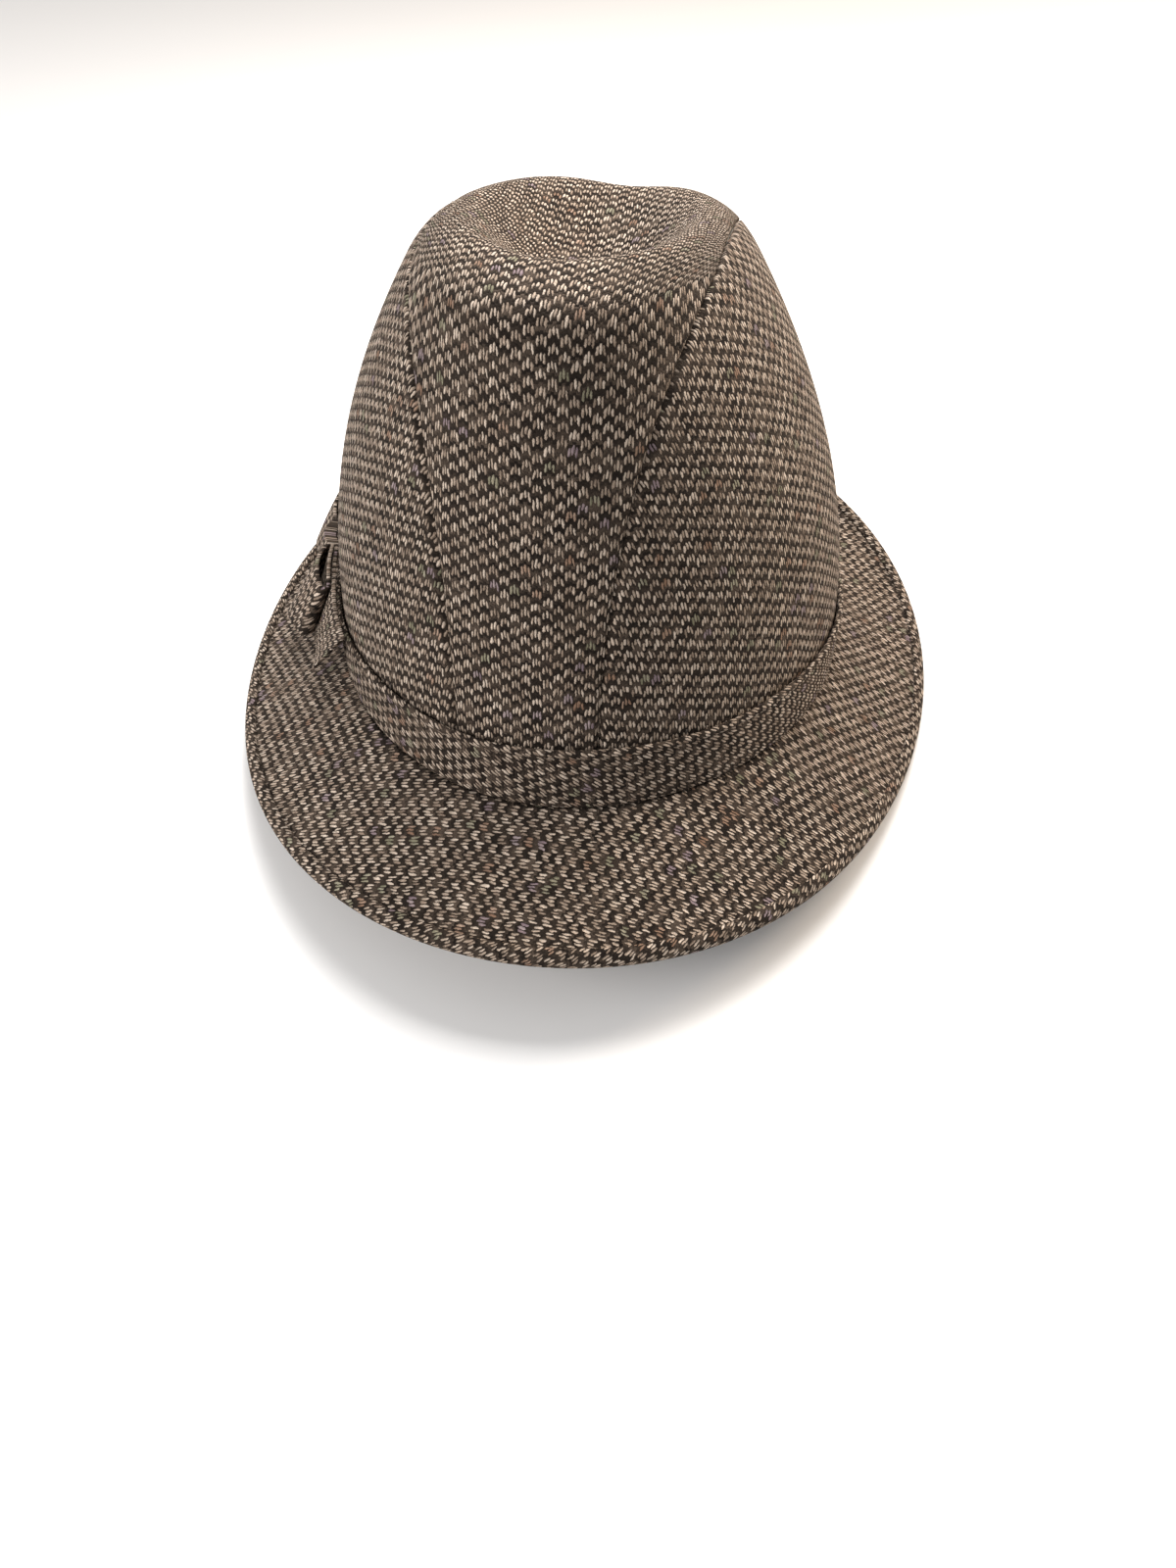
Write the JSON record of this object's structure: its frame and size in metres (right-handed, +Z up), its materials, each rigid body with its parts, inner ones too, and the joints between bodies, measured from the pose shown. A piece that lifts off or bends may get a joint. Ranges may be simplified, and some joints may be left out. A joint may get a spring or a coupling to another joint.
{
  "type": "fedora hat",
  "caption": "Cut-and-sewn tweed trilby with a creased panelled crown, self-fabric band and side bow, and a bound snap brim that lifts at the front.",
  "frame": {"origin": "middle of the overall box in plan, at the lowest point of the brim edge, where the hat lies on a table", "axes": "-Y is the front of the hat, +X the wearer's left, +Z up; the hat lies on its brim, tipped back 10 degrees, with the bow on -X"},
  "size_m": [0.2465, 0.2778, 0.1651],
  "materials": {
    "crown_tweed": "matte woven tweed",
    "brim_tweed": "matte woven tweed",
    "band_tweed": "matte woven tweed cut on the bias",
    "binding_tweed": "matte woven tweed cut on the bias",
    "interlining": "stiff woven canvas",
    "lining": "smooth satin",
    "sweatband_leather": "smooth, soft sheen",
    "reed": "covered cord",
    "thread": "twisted thread"
  },
  "bodies": {
    "hat": {"crown_centre_panel": "crown_tweed", "crown_left_panel": "crown_tweed", "crown_right_panel": "crown_tweed", "crown_interlining_centre_panel": "interlining", "crown_interlining_left_panel": "interlining", "crown_interlining_right_panel": "interlining", "lining_centre_panel": "lining", "lining_left_panel": "lining", "lining_right_panel": "lining", "brim_top_cloth_rear": "brim_tweed", "brim_interlining_rear": "interlining", "brim_under_cloth_rear": "brim_tweed", "edge_binding_rear": "binding_tweed", "hat_band": "band_tweed", "bow_tail": "band_tweed", "bow_front_loop": "band_tweed", "bow_rear_loop": "band_tweed", "bow_knot": "band_tweed", "sweatband": "sweatband_leather", "sweatband_reed": "reed", "sweatband_stitches": "thread", "band_tack_stitches": "thread", "bow_tie_stitches": "thread"},
    "brim_front": {"brim_top_cloth_front": "brim_tweed", "brim_interlining_front": "interlining", "brim_under_cloth_front": "brim_tweed", "edge_binding_front": "binding_tweed"}
  },
  "joints": [
    {"name": "brim_snap", "type": "hinge", "parent": "hat", "child": "brim_front", "pos_m": [0.00059, -0.10307, 0.03944], "axis": [-0.9999, -0.0026, -0.0144], "range_deg": [0, 40]}
  ]
}
